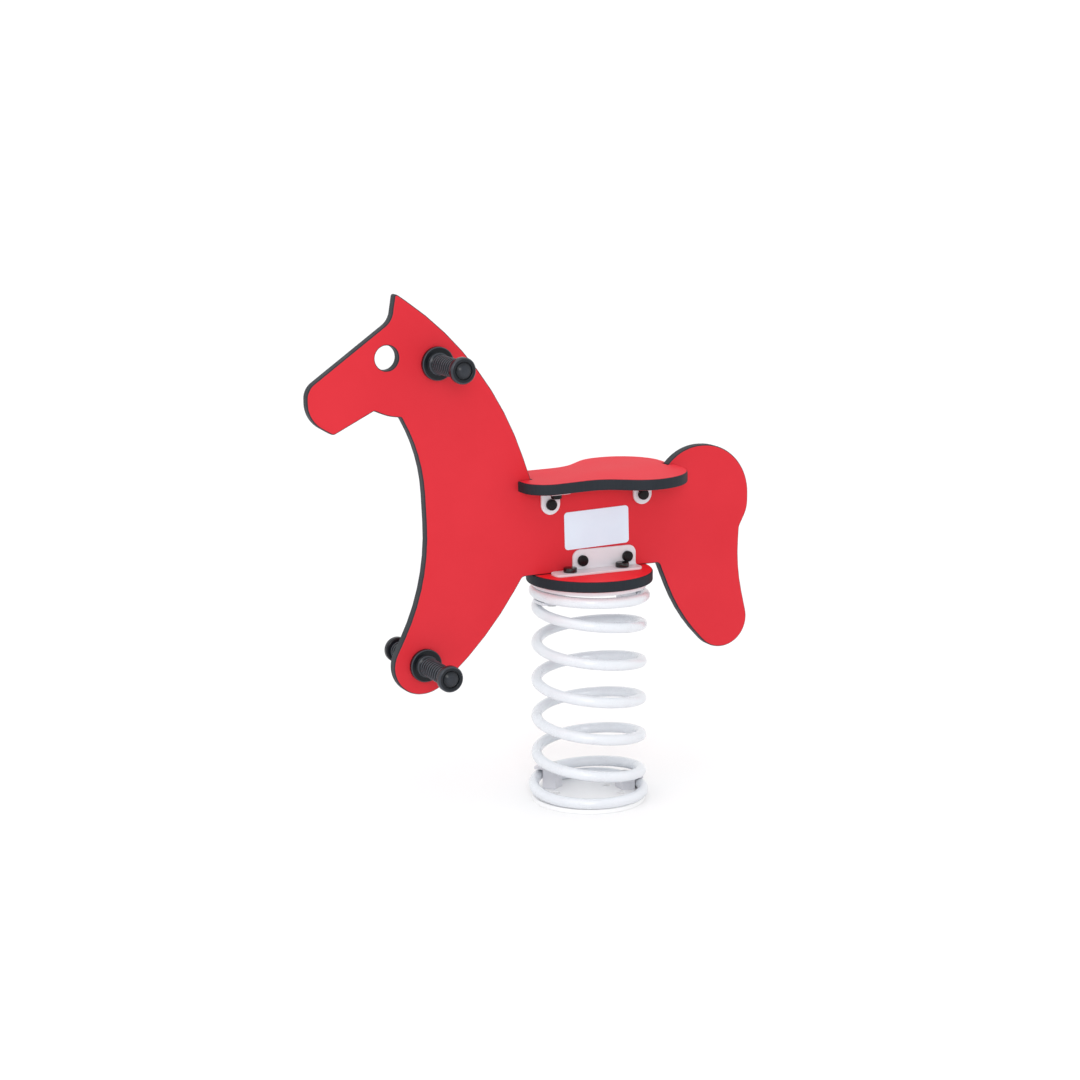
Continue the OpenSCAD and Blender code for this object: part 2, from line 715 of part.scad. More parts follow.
base_disc();
foot_clip_left();
foot_clip_right();
foot_clip_bolts();
spring();
top_disc();
top_clip_front();
top_clip_rear();
top_clip_bolts();
deck_plate();
deck_bolts();
deck_nuts();
deck_caps();
belly_bracket_left();
belly_bracket_right();
belly_bolts();
belly_nuts();
belly_caps();
horse_panel();
seat_plate();
seat_bracket_front_left();
seat_bracket_front_right();
seat_bracket_rear_left();
seat_bracket_rear_right();
seat_cross_bolts();
seat_cross_nuts();
seat_cross_caps();
seat_inserts();
seat_screws();
seat_screw_caps();
handle_rod();
handle_grip_left();
handle_grip_right();
handle_nuts();
handle_plug_left();
handle_plug_right();
footrest_rod();
footrest_grip_left();
footrest_grip_right();
footrest_nuts();
footrest_plug_left();
footrest_plug_right();
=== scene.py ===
import json
import math

import bpy
from mathutils import Matrix, Vector


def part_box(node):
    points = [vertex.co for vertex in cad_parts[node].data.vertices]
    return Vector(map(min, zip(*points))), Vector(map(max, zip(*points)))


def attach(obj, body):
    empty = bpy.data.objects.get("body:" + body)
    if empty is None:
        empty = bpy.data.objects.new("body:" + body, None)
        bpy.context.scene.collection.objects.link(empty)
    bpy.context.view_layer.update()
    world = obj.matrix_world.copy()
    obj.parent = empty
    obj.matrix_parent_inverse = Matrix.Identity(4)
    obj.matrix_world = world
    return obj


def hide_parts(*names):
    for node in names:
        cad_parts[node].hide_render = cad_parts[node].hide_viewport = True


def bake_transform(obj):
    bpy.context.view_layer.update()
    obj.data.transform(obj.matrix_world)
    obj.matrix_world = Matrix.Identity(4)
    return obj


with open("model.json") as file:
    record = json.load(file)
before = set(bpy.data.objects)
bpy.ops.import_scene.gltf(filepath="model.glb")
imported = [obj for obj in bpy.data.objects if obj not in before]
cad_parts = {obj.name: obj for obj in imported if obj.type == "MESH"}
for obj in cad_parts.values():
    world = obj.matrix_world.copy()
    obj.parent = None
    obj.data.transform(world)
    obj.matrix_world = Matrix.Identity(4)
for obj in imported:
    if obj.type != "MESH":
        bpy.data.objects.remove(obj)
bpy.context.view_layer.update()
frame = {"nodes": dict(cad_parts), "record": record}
nodes = frame["nodes"]
print("frame loaded with", len(nodes), "nodes")


# small helpers for the operators

def pickOnly(piece):
    bpy.ops.object.select_all(action="DESELECT")
    piece.select_set(True)
    bpy.context.view_layer.objects.active = piece


def editOn(piece, pick="VERT"):
    pickOnly(piece)
    bpy.ops.object.mode_set(mode="EDIT")
    bpy.ops.mesh.select_mode(type=pick)
    bpy.ops.mesh.select_all(action="SELECT")


def editOff():
    bpy.ops.object.mode_set(mode="OBJECT")


def pickEdges(piece, wanted):
    # picks the edges that wanted says yes to, and stays in edit mode
    editOn(piece, "EDGE")
    bpy.ops.mesh.select_all(action="DESELECT")
    editOff()
    for edge in piece.data.edges:
        edge.select = wanted(edge)
    bpy.ops.object.mode_set(mode="EDIT")


nodeCopy = {"merge": 0.00002, "flatAngle": 0.6, "weld": 0.00005}


def copyOfNode(node, name, weld=nodeCopy["weld"]):
    piece = bpy.data.objects.new(name, nodes[node].data.copy())
    bpy.context.scene.collection.objects.link(piece)
    piece.data.materials.clear()
    pickOnly(piece)
    bpy.ops.mesh.customdata_custom_splitnormals_clear()
    editOn(piece)
    bpy.ops.mesh.remove_doubles(threshold=nodeCopy["merge"])
    bpy.ops.mesh.dissolve_limited(angle_limit=math.radians(nodeCopy["flatAngle"]))
    bpy.ops.mesh.select_all(action="SELECT")
    bpy.ops.mesh.remove_doubles(threshold=weld)
    editOff()
    return piece


def smoothFaces(piece, angle=35):
    pickOnly(piece)
    bpy.ops.object.shade_smooth_by_angle(angle=math.radians(angle))
    even = piece.modifiers.new("even", "WEIGHTED_NORMAL")  # keeps the flats flat beside the eased rims
    even.keep_sharp = True
    bpy.ops.object.modifier_apply(modifier=even.name)


def easeRims(piece, width, steps=3, limit="ANGLE", angle=40):
    pickOnly(piece)
    rim = piece.modifiers.new("rim", "BEVEL")
    rim.width = width
    rim.segments = steps
    rim.limit_method = limit
    rim.angle_limit = math.radians(angle)
    rim.use_clamp_overlap = False
    rim.loop_slide = False
    bpy.ops.object.modifier_apply(modifier=rim.name)
    smoothFaces(piece)


def joinPieces(pieces, name):
    pickOnly(pieces[0])
    for piece in pieces[1:]:
        piece.select_set(True)
    if len(pieces) > 1:
        bpy.ops.object.join()
    joined = bpy.context.view_layer.objects.active
    joined.name = name
    joined.data.name = name
    return joined


def looseParts(node):
    # lowest and highest corner of each separate solid in a node
    spare = copyOfNode(node, "spare")
    editOn(spare)
    bpy.ops.mesh.separate(type="LOOSE")
    editOff()
    parts = list(bpy.context.selected_objects)
    found = []
    for part in parts:
        low = Vector([min(v.co[i] for v in part.data.vertices) for i in range(3)])
        high = Vector([max(v.co[i] for v in part.data.vertices) for i in range(3)])
        found.append((low, high))
    for part in parts:
        bpy.data.objects.remove(part)
    return found


def turnOnLathe(name, profile, sides, merge=0.000001):
    # profile is a list of (radius, height), turned about Z from its first ring to its last
    radius, height = profile[0]
    bpy.ops.object.select_all(action="DESELECT")
    bpy.ops.mesh.primitive_circle_add(vertices=sides, radius=radius, fill_type="NGON", location=(0, 0, 0))
    piece = bpy.context.view_layer.objects.active
    piece.name = name
    piece.data.name = name
    editOn(piece, "FACE")
    bpy.ops.transform.translate(value=(0, 0, height))
    for nextRadius, nextHeight in profile[1:]:
        bpy.ops.mesh.extrude_region_move(TRANSFORM_OT_translate={"value": (0, 0, nextHeight - height)})
        grow = nextRadius / radius
        bpy.ops.transform.resize(value=(grow, grow, 1), center_override=(0, 0, 0))
        radius, height = nextRadius, nextHeight
    bpy.ops.mesh.select_all(action="SELECT")
    bpy.ops.mesh.remove_doubles(threshold=merge)
    bpy.ops.mesh.fill_holes(sides=0)
    bpy.ops.mesh.normals_make_consistent(inside=False)
    editOff()
    return piece


def sidePlace(low, high):
    # stands a turned piece on its own side of the horse, facing outwards
    middle = (low + high) / 2
    side = -1 if middle.y < 0 else 1
    face = low.y if side > 0 else high.y
    return Matrix.Translation((middle.x, face, middle.z)) @ Matrix.Rotation(-side * math.pi / 2, 4, "X")


def copyPlaced(piece, name, place):
    made = bpy.data.objects.new(name, piece.data.copy())
    bpy.context.scene.collection.objects.link(made)
    made.data.transform(place)
    return made


def quarterRound(centre, radius, start, stop, steps=5):
    turns = [start + (stop - start) * i / steps for i in range(steps + 1)]
    return [(centre[0] + radius * math.cos(math.radians(a)), centre[1] + radius * math.sin(math.radians(a)))
            for a in turns]


def finishPiece(piece, body, slotName, material, *standsFor):
    piece.data.materials.clear()
    piece.data.materials.append(material)
    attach(piece, body)
    if standsFor:
        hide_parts(*standsFor)


# node groups that several finishes share

def addNode(tree, kind, x, y, **values):
    node = tree.nodes.new(kind)
    node.location = (x, y)
    for key, value in values.items():
        setattr(node, key, value)
    return node


def newGroup(name, inputs, outputs):
    tree = bpy.data.node_groups.new(name, "ShaderNodeTree")
    for label, kind, value in inputs:
        socket = tree.interface.new_socket(label, in_out="INPUT", socket_type=kind)
        if value is not None:
            socket.default_value = value
    for label, kind in outputs:
        tree.interface.new_socket(label, in_out="OUTPUT", socket_type=kind)
    return tree, addNode(tree, "NodeGroupInput", -900, 0), addNode(tree, "NodeGroupOutput", 700, 0)


def mathNode(tree, operation, x, y, first, second=None, clamp=False):
    node = addNode(tree, "ShaderNodeMath", x, y, operation=operation, use_clamp=clamp)
    for index, value in enumerate((first, second)):
        if value is None:
            continue
        if isinstance(value, (int, float)):
            node.inputs[index].default_value = value
        else:
            tree.links.new(value, node.inputs[index])
    return node.outputs[0]


surfaceGrain = {"grainDetail": 3.0, "cloudDetail": 4.0, "cloudLow": 0.32, "cloudHigh": 0.68}


def makeGrainGroup(s):
    # fine surface grain for the bump, a broad cloudy tone, and a roughness that follows both
    tree, inn, out = newGroup("surfaceGrain", [
        ("Vector", "NodeSocketVector", None), ("Grain Scale", "NodeSocketFloat", 900.0),
        ("Cloud Scale", "NodeSocketFloat", 9.0), ("Roughness", "NodeSocketFloat", 0.45),
        ("Spread", "NodeSocketFloat", 0.08)],
        [("Height", "NodeSocketFloat"), ("Tone", "NodeSocketFloat"), ("Roughness", "NodeSocketFloat")])
    grain = addNode(tree, "ShaderNodeTexNoise", -600, 200)
    grain.inputs["Detail"].default_value = s["grainDetail"]
    cloud = addNode(tree, "ShaderNodeTexNoise", -600, -150)
    cloud.inputs["Detail"].default_value = s["cloudDetail"]
    tree.links.new(inn.outputs["Vector"], grain.inputs["Vector"])
    tree.links.new(inn.outputs["Grain Scale"], grain.inputs["Scale"])
    tree.links.new(inn.outputs["Vector"], cloud.inputs["Vector"])
    tree.links.new(inn.outputs["Cloud Scale"], cloud.inputs["Scale"])
    spread = addNode(tree, "ShaderNodeMapRange", -350, -150)
    spread.inputs["From Min"].default_value = s["cloudLow"]
    spread.inputs["From Max"].default_value = s["cloudHigh"]
    tree.links.new(cloud.outputs["Fac"], spread.inputs["Value"])
    centred = mathNode(tree, "SUBTRACT", -100, -150, spread.outputs["Result"], 0.5)
    speck = mathNode(tree, "SUBTRACT", -100, 150, grain.outputs["Fac"], 0.5)
    mixed = mathNode(tree, "ADD", 80, 0, centred, speck)
    scaled = mathNode(tree, "MULTIPLY", 260, 0, mixed, inn.outputs["Spread"])
    rough = mathNode(tree, "ADD", 440, 0, scaled, inn.outputs["Roughness"], clamp=True)
    tree.links.new(grain.outputs["Fac"], out.inputs["Height"])
    tree.links.new(spread.outputs["Result"], out.inputs["Tone"])
    tree.links.new(rough, out.inputs["Roughness"])
    return tree


boardSkins = {
    "wanderScale": 140.0, "wander": 0.0003, "edgeFade": 0.00025, "marksScale": 420.0, "marksDetail": 2.0,
}


def makeSkinGroup(s):
    # 1 in the coloured skins of the board, 0 in its dark core; Depth is measured from the middle of the board
    tree, inn, out = newGroup("boardSkins", [
        ("Vector", "NodeSocketVector", None), ("Depth", "NodeSocketFloat", 0.0),
        ("Core Half", "NodeSocketFloat", 0.0085)],
        [("Skin", "NodeSocketFloat"), ("Cutter Marks", "NodeSocketFloat")])
    wander = addNode(tree, "ShaderNodeTexNoise", -600, -250)
    wander.inputs["Scale"].default_value = s["wanderScale"]
    tree.links.new(inn.outputs["Vector"], wander.inputs["Vector"])
    shift = mathNode(tree, "MULTIPLY", -400, -250, wander.outputs["Fac"], s["wander"])
    away = mathNode(tree, "ABSOLUTE", -600, 100, inn.outputs["Depth"])
    past = mathNode(tree, "SUBTRACT", -400, 100, away, inn.outputs["Core Half"])
    edge = mathNode(tree, "ADD", -220, 50, past, shift)
    fade = addNode(tree, "ShaderNodeMapRange", -40, 50, interpolation_type="SMOOTHSTEP")
    fade.inputs["From Min"].default_value = 0.0
    fade.inputs["From Max"].default_value = s["edgeFade"]
    tree.links.new(edge, fade.inputs["Value"])
    marks = addNode(tree, "ShaderNodeTexNoise", -40, -250)
    marks.inputs["Scale"].default_value = s["marksScale"]
    marks.inputs["Detail"].default_value = s["marksDetail"]
    tree.links.new(inn.outputs["Vector"], marks.inputs["Vector"])
    tree.links.new(fade.outputs["Result"], out.inputs["Skin"])
    tree.links.new(marks.outputs["Fac"], out.inputs["Cutter Marks"])
    return tree


grainGroup = makeGrainGroup(surfaceGrain)
skinGroup = makeSkinGroup(boardSkins)
print("node groups made")


# finishes

def newFinish(name, metallic=0.0, ior=1.5, specular=0.5, coat=0.0, coatRoughness=0.1):
    finish = bpy.data.materials.new(name)
    finish.use_nodes = True
    tree = finish.node_tree
    tree.nodes.clear()
    out = addNode(tree, "ShaderNodeOutputMaterial", 900, 0)
    shader = addNode(tree, "ShaderNodeBsdfPrincipled", 600, 0)
    shader.inputs["Metallic"].default_value = metallic
    shader.inputs["IOR"].default_value = ior
    shader.inputs["Specular IOR Level"].default_value = specular
    shader.inputs["Coat Weight"].default_value = coat
    shader.inputs["Coat Roughness"].default_value = coatRoughness
    tree.links.new(shader.outputs["BSDF"], out.inputs["Surface"])
    where = addNode(tree, "ShaderNodeTexCoord", -1100, 0)
    return finish, tree, shader, where.outputs["Object"]


def mixColours(tree, x, y, factor, first, second):
    mix = addNode(tree, "ShaderNodeMix", x, y, data_type="RGBA")
    tree.links.new(factor, mix.inputs["Factor"])
    for socket, value in ((mix.inputs[6], first), (mix.inputs[7], second)):
        if isinstance(value, tuple):
            socket.default_value = (*value, 1.0)
        else:
            tree.links.new(value, socket)
    return mix.outputs[2]


def placeGrain(tree, where, x, y, grainScale, cloudScale, roughness, spread):
    grain = addNode(tree, "ShaderNodeGroup", x, y, node_tree=grainGroup)
    tree.links.new(where, grain.inputs["Vector"])
    grain.inputs["Grain Scale"].default_value = grainScale
    grain.inputs["Cloud Scale"].default_value = cloudScale
    grain.inputs["Roughness"].default_value = roughness
    grain.inputs["Spread"].default_value = spread
    return grain


def addBump(tree, shader, height, strength, distance):
    bump = addNode(tree, "ShaderNodeBump", 350, -300)
    bump.inputs["Strength"].default_value = strength
    bump.inputs["Distance"].default_value = distance
    tree.links.new(height, bump.inputs["Height"])
    tree.links.new(bump.outputs["Normal"], shader.inputs["Normal"])


board = {
    "skinColour": (0.630, 0.024, 0.037), "skinShade": (0.600, 0.020, 0.032),
    "coreColour": (0.026, 0.031, 0.038), "coreShade": (0.019, 0.022, 0.028), "coreHalf": 0.00915,
    "skinRoughness": 0.52, "skinGrain": 1100.0, "skinCloud": 7.0, "skinSpread": 0.07,
    "cutRoughness": 0.52, "cutGrain": 500.0, "cutCloud": 30.0, "cutSpread": 0.12, "cutStretch": 0.06,
    "bump": 0.22, "bumpDepth": 0.00025,
}


def makeBoardFinish(name, across, middle, specular, tilt=0.0, paintedLightTint=(1.0, 1.0, 1.0)):
    # two-colour plastic board; across is the axis through its thickness, middle a point in its middle plane
    finish, tree, shader, where = newFinish(name, specular=specular)
    mapping = addNode(tree, "ShaderNodeMapping", -900, 0, vector_type="TEXTURE")
    mapping.inputs["Location"].default_value = middle
    mapping.inputs["Rotation"].default_value = (0, math.radians(tilt), 0)
    tree.links.new(where, mapping.inputs["Vector"])
    local = mapping.outputs["Vector"]
    split = addNode(tree, "ShaderNodeSeparateXYZ", -700, 200)
    tree.links.new(local, split.inputs["Vector"])
    stretch = addNode(tree, "ShaderNodeVectorMath", -700, -200, operation="MULTIPLY")
    along = board["cutStretch"]  # draws the cutter marks out through the thickness
    stretch.inputs[1].default_value = (1, along, 1) if across == "Y" else (1, 1, along)
    tree.links.new(local, stretch.inputs[0])
    skins = addNode(tree, "ShaderNodeGroup", -500, 200, node_tree=skinGroup)
    tree.links.new(stretch.outputs["Vector"], skins.inputs["Vector"])
    tree.links.new(split.outputs[across], skins.inputs["Depth"])
    skins.inputs["Core Half"].default_value = board["coreHalf"]
    grain = placeGrain(tree, local, -500, -150, board["skinGrain"], board["skinCloud"],
                       board["skinRoughness"], board["skinSpread"])
    cut = placeGrain(tree, stretch.outputs["Vector"], -500, -450, board["cutGrain"], board["cutCloud"],
                     board["cutRoughness"], board["cutSpread"])
    # the tint scales the skin colours of this copy of the board: painted light
    dark, light = (tuple(t * c for t, c in zip(paintedLightTint, board[key])) for key in ("skinShade", "skinColour"))
    skin = mixColours(tree, -100, 300, grain.outputs["Tone"], dark, light)
    core = mixColours(tree, -100, 50, skins.outputs["Cutter Marks"], board["coreShade"], board["coreColour"])
    tree.links.new(mixColours(tree, 150, 200, skins.outputs["Skin"], core, skin), shader.inputs["Base Color"])
    rough = addNode(tree, "ShaderNodeMix", 150, -50, data_type="FLOAT")
    tree.links.new(skins.outputs["Skin"], rough.inputs["Factor"])
    tree.links.new(cut.outputs["Roughness"], rough.inputs[2])
    tree.links.new(grain.outputs["Roughness"], rough.inputs[3])
    tree.links.new(rough.outputs[0], shader.inputs["Roughness"])
    height = addNode(tree, "ShaderNodeMix", 150, -300, data_type="FLOAT")
    tree.links.new(skins.outputs["Skin"], height.inputs["Factor"])
    tree.links.new(skins.outputs["Cutter Marks"], height.inputs[2])
    tree.links.new(grain.outputs["Height"], height.inputs[3])
    addBump(tree, shader, height.outputs[0], board["bump"], board["bumpDepth"])
    return finish


def makePlainFinish(name, light, dark, roughness, spread, grainScale, cloudScale, bump, bumpDepth, **more):
    finish, tree, shader, where = newFinish(name, **more)
    grain = placeGrain(tree, where, -500, 0, grainScale, cloudScale, roughness, spread)
    tree.links.new(mixColours(tree, 0, 150, grain.outputs["Tone"], dark, light), shader.inputs["Base Color"])
    tree.links.new(grain.outputs["Roughness"], shader.inputs["Roughness"])
    addBump(tree, shader, grain.outputs["Height"], bump, bumpDepth)
    return finish


# the paler colour is a painted highlight on rib tops, round rims and the plug dome
pegFinish = {
    "plain": (0.0052, 0.0070, 0.0098), "worn": (0.098, 0.108, 0.132),
    "roughness": 0.28, "wornRoughness": 0.22, "specular": 0.22, "grain": 1800.0, "cloud": 30.0,
    "spread": 0.08, "patches": 0.4, "leastWear": 0.7, "bump": 0.06, "bumpDepth": 0.0001,
}


def makePaintedHighlightFinish(name, p):
    # moulded plastic, paler and smoother where its painted highlight attribute is high: a painted highlight
    # on rib tops, round edges and the plug dome
    finish, tree, shader, where = newFinish(name, specular=p["specular"])
    grain = placeGrain(tree, where, -500, 0, p["grain"], p["cloud"], p["roughness"], p["spread"])
    wear = addNode(tree, "ShaderNodeAttribute", -500, 300, attribute_name="wear")
    patches = mathNode(tree, "MULTIPLY", -420, 150, grain.outputs["Tone"], p["patches"])
    share = mathNode(tree, "ADD", -350, 150, patches, p["leastWear"])
    amount = mathNode(tree, "MULTIPLY", -200, 300, wear.outputs["Fac"], share, clamp=True)
    tree.links.new(mixColours(tree, 0, 200, amount, p["plain"], p["worn"]), shader.inputs["Base Color"])
    rough = addNode(tree, "ShaderNodeMix", 0, -50, data_type="FLOAT")
    tree.links.new(amount, rough.inputs["Factor"])
    tree.links.new(grain.outputs["Roughness"], rough.inputs[2])
    rough.inputs[3].default_value = p["wornRoughness"]
    tree.links.new(rough.outputs[0], shader.inputs["Roughness"])
    addBump(tree, shader, grain.outputs["Height"], p["bump"], p["bumpDepth"])
    return finish


deckLow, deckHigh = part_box("deck_plate")
deckMiddle = (0, 0, (deckLow.z + deckHigh.z) / 2)
saddleHeight = 0.5582
halfBoard = 0.0095
seatTilt = -1.3  # degrees about Y
seatMiddle = (0.0, 0.0, saddleHeight + halfBoard)
panelBoard = makeBoardFinish("panelBoard", "Y", (0, 0, 0), specular=0.18)
# the seat's copy is redder and brighter: painted light on its top
seatBoard = makeBoardFinish("seatBoard", "Z", seatMiddle, specular=0.09, tilt=seatTilt,
                            paintedLightTint=(1.08, 0.85, 1.0))
# the deck's copy is brightened: painted light that lifts the shade under the seat and panel
deckBoard = makeBoardFinish("deckBoard", "Z", deckMiddle, specular=0.06, paintedLightTint=(1.27, 0.96, 0.92))
whitePaint = makePlainFinish("whitePaint", light=(0.70, 0.70, 0.74), dark=(0.665, 0.665, 0.71),
                             roughness=0.38, spread=0.10, grainScale=700.0, cloudScale=14.0,
                             bump=0.10, bumpDepth=0.0002, coat=0.15, coatRoughness=0.25)
whiteWire = makePlainFinish("whiteWire", light=(0.72, 0.745, 0.785), dark=(0.69, 0.715, 0.76),
                            roughness=0.28, spread=0.10, grainScale=600.0, cloudScale=12.0,
                            bump=0.08, bumpDepth=0.0002, coat=0.3, coatRoughness=0.16)
# the foot disc gets a paler copy of the white paint: painted light that lifts the shade inside the ring
discPaint = makePlainFinish("discPaint", light=(0.90, 0.90, 0.905), dark=(0.87, 0.87, 0.88),
                            roughness=0.42, spread=0.10, grainScale=700.0, cloudScale=14.0,
                            bump=0.08, bumpDepth=0.0002)
capPlastic = makePlainFinish("capPlastic", light=(0.0060, 0.0052, 0.0064), dark=(0.0042, 0.0036, 0.0046),
                             roughness=0.26, spread=0.08, grainScale=1500.0, cloudScale=40.0,
                             bump=0.08, bumpDepth=0.0001, specular=0.18)
pegPlastic = makePaintedHighlightFinish("pegPlastic", pegFinish)
deckCapPlastic = makePlainFinish("deckCapPlastic", light=(0.0060, 0.0058, 0.0066),
                                 dark=(0.0044, 0.0042, 0.0050), roughness=0.14, spread=0.05,
                                 grainScale=1500.0, cloudScale=40.0, bump=0.05, bumpDepth=0.0001)
zincPlating = makePlainFinish("zincPlating", light=(0.62, 0.63, 0.64), dark=(0.50, 0.51, 0.53),
                              roughness=0.34, spread=0.18, grainScale=800.0, cloudScale=90.0,
                              bump=0.12, bumpDepth=0.0001, metallic=1.0)
turnedBrass = makePlainFinish("turnedBrass", light=(0.62, 0.46, 0.20), dark=(0.52, 0.37, 0.15),
                              roughness=0.30, spread=0.15, grainScale=800.0, cloudScale=90.0,
                              bump=0.12, bumpDepth=0.0001, metallic=1.0)
print("finishes made")


# boards: the horse, the seat and the deck keep their cut outline and get eased rims

boardPieces = {
    "horseBoard": {"node": "horse_panel", "finish": panelBoard, "rim": 0.0030},
    "seatBoard": {"node": "seat_plate", "finish": seatBoard, "rim": 0.0030},
    "deckBoard": {"node": "deck_plate", "finish": deckBoard, "rim": 0.0030},
}
boardEdge = {"steps": 5, "weld": 0.0005, "skinFacing": 0.99}


def easeBoard(piece, width, b):
    # rounds only the rims between the two skins and the cut edge
    mesh = piece.data
    skin = max(mesh.polygons, key=lambda face: face.area).normal.copy()
    sides = {}
    for face in mesh.polygons:
        for key in face.edge_keys:
            sides.setdefault(key, []).append(abs(face.normal.dot(skin)) > b["skinFacing"])
    weight = mesh.attributes.new("bevel_weight_edge", "FLOAT", "EDGE")
    for i, edge in enumerate(mesh.edges):
        weight.data[i].value = 1.0 if sum(sides[tuple(sorted(edge.vertices))]) == 1 else 0.0
    easeRims(piece, width, b["steps"], "WEIGHT")


for name, piece in boardPieces.items():
    made = copyOfNode(piece["node"], name, boardEdge["weld"])
    easeBoard(made, piece["rim"], boardEdge)
    finishPiece(made, "rider", "red_sheet", piece["finish"], piece["node"])
print("boards made")


# steel: discs, clips and brackets with eased rims

steelPieces = {
    "footDisc": ("base_disc", "foot", 0.0009), "footClipLeft": ("foot_clip_left", "foot", 0.0008),
    "footClipRight": ("foot_clip_right", "foot", 0.0008), "topDisc": ("top_disc", "rider", 0.0009),
    "topClipFront": ("top_clip_front", "rider", 0.0008), "topClipRear": ("top_clip_rear", "rider", 0.0008),
    "bellyBracketLeft": ("belly_bracket_left", "rider", 0.0007),
    "bellyBracketRight": ("belly_bracket_right", "rider", 0.0007),
    "seatBracketFrontLeft": ("seat_bracket_front_left", "rider", 0.0007),
    "seatBracketFrontRight": ("seat_bracket_front_right", "rider", 0.0007),
    "seatBracketRearLeft": ("seat_bracket_rear_left", "rider", 0.0007),
    "seatBracketRearRight": ("seat_bracket_rear_right", "rider", 0.0007),
}
bracketBend = {"radius": 0.0032, "steps": 6, "cornerAngle": 60, "hollow": 0.0005}


def roundBend(piece, b):
    # rounds the inner corner between the two legs of a bent plate
    sharing = {}
    for face in piece.data.polygons:
        for key in face.edge_keys:
            sharing.setdefault(key, []).append(face)
    hollow = set()
    for key, faces in sharing.items():
        if len(faces) == 2 and faces[0].normal.angle(faces[1].normal) > math.radians(b["cornerAngle"]):
            across = faces[1].center - faces[0].center
            if across.dot(faces[0].normal) > b["hollow"] and across.dot(faces[1].normal) < -b["hollow"]:
                hollow.add(key)
    print(piece.name, "inner bend edges", len(hollow))
    pickEdges(piece, lambda edge: tuple(sorted(edge.vertices)) in hollow)
    bpy.ops.mesh.bevel(offset=b["radius"], segments=b["steps"], affect="EDGES", clamp_overlap=False)
    editOff()


for name, (node, body, rim) in steelPieces.items():
    made = copyOfNode(node, name)
    if "Bracket" in name:
        roundBend(made, bracketBend)
    easeRims(made, rim)
    finishPiece(made, body, "painted_steel", discPaint if node == "base_disc" else whitePaint, node)
print("steel pieces made")


# spring: one wire, modelled in two halves

springWire = {
    "coilRadius": 0.09075, "wireRadius": 0.00925, "height": 0.3735, "bottom": 0.008,
    "tipAngle": 100.5, "tipDip": 0.0038, "endFlare": 0.0045,
    "wireTurn": 2566.0, "levelTurn": 60.0, "restTurn": 200.0, "rampEnd": 559.9,  # degrees along the wire
    "flareFrom": 310.0, "flareTo": 450.0,  # degrees from either end
    "lowerBend": (0.045, 0.180), "upperBend": (0.205, 0.340),  # heights between the clips
    "stepsPerTurn": 72, "roundSteps": 8, "smoothAngle": 40, "onRing": 0.00002,
}


def halfRise(a, s):
    ramp = s["rampEnd"] - s["levelTurn"]
    climb = (s["height"] / 2 - s["wireRadius"]) / (ramp / 2 + s["wireTurn"] / 2 - s["rampEnd"])  # per degree
    if a < s["levelTurn"]:
        return s["wireRadius"] - s["tipDip"] * (1 - a / s["levelTurn"])
    if a < s["rampEnd"]:
        return s["wireRadius"] + climb * (a - s["levelTurn"]) ** 2 / (2 * ramp)
    return s["wireRadius"] + climb * (a - s["levelTurn"] - ramp / 2)


def ease(t):
    t = max(0.0, min(1.0, t))
    return t * t * (3 - 2 * t)


def footRise(a, s):
    # the first turn at the foot stays down on the disc for longer
    lift = 1.0 if a < s["levelTurn"] else ease((a - s["restTurn"]) / (360 - s["restTurn"]))
    return s["wireRadius"] + (halfRise(a, s) - s["wireRadius"]) * lift


def wirePoint(a, s):
    half = s["wireTurn"] / 2
    rise = footRise(a, s) if a < half else s["height"] - halfRise(s["wireTurn"] - a, s)
    fromEnd = min(a, s["wireTurn"] - a)
    flare = ease((s["flareTo"] - fromEnd) / (s["flareTo"] - s["flareFrom"]))
    radius = s["coilRadius"] + s["endFlare"] * flare
    angle = math.radians(s["tipAngle"] - a)
    return Vector((radius * math.cos(angle), radius * math.sin(angle), s["bottom"] + rise))


def makeWire(name, start, stop, seam, s):
    # the sweep runs one step past the seam, so that both halves end in the same ring there
    count = round((stop - start) / 360 * s["stepsPerTurn"])
    step = (stop - start) / count
    first = -1 if seam == start else 0
    last = count + 1 if seam == stop else count
    stations = [start + step * i for i in range(first, last + 1)]
    route = bpy.data.curves.new(name, "CURVE")
    route.dimensions = "3D"
    route.twist_mode = "Z_UP"
    route.bevel_depth = s["wireRadius"]
    route.bevel_resolution = s["roundSteps"]
    line = route.splines.new("POLY")
    line.points.add(len(stations) - 1)
    for point, a in zip(line.points, stations):
        point.co = (*wirePoint(a, s), 1.0)
    piece = bpy.data.objects.new(name, route)
    bpy.context.scene.collection.objects.link(piece)
    pickOnly(piece)
    bpy.ops.object.convert(target="MESH")
    piece = bpy.context.view_layer.objects.active
    ringSize = len(piece.data.vertices) // len(stations)
    for v in piece.data.vertices:  # the end turns are ground flat on the discs
        v.co.z = max(s["bottom"], min(s["bottom"] + s["height"], v.co.z))
    spareRing = 0 if seam == start else len(stations) - 1
    editOn(piece)
    bpy.ops.mesh.select_all(action="DESELECT")
    editOff()
    for i, v in enumerate(piece.data.vertices):
        v.select = i // ringSize == spareRing
    bpy.ops.object.mode_set(mode="EDIT")
    bpy.ops.mesh.delete(type="VERT")
    bpy.ops.mesh.select_all(action="SELECT")
    bpy.ops.mesh.fill_holes(sides=0)
    bpy.ops.mesh.normals_make_consistent(inside=False)
    editOff()
    pickOnly(piece)
    bpy.ops.object.shade_smooth_by_angle(angle=math.radians(s["smoothAngle"]))
    middle = wirePoint(seam, s)
    shading = []
    for face in piece.data.polygons:
        for index in face.vertices:
            away = piece.data.vertices[index].co - middle
            onRing = face.loop_total == 4 and abs(away.length - s["wireRadius"]) < s["onRing"]
            shading.append(away.normalized() if onRing else Vector((0, 0, 0)))
    piece.data.normals_split_custom_set(shading)  # one smooth surface across the seam
    print(name, "rings", len(stations) - 1, "of", ringSize)
    return piece


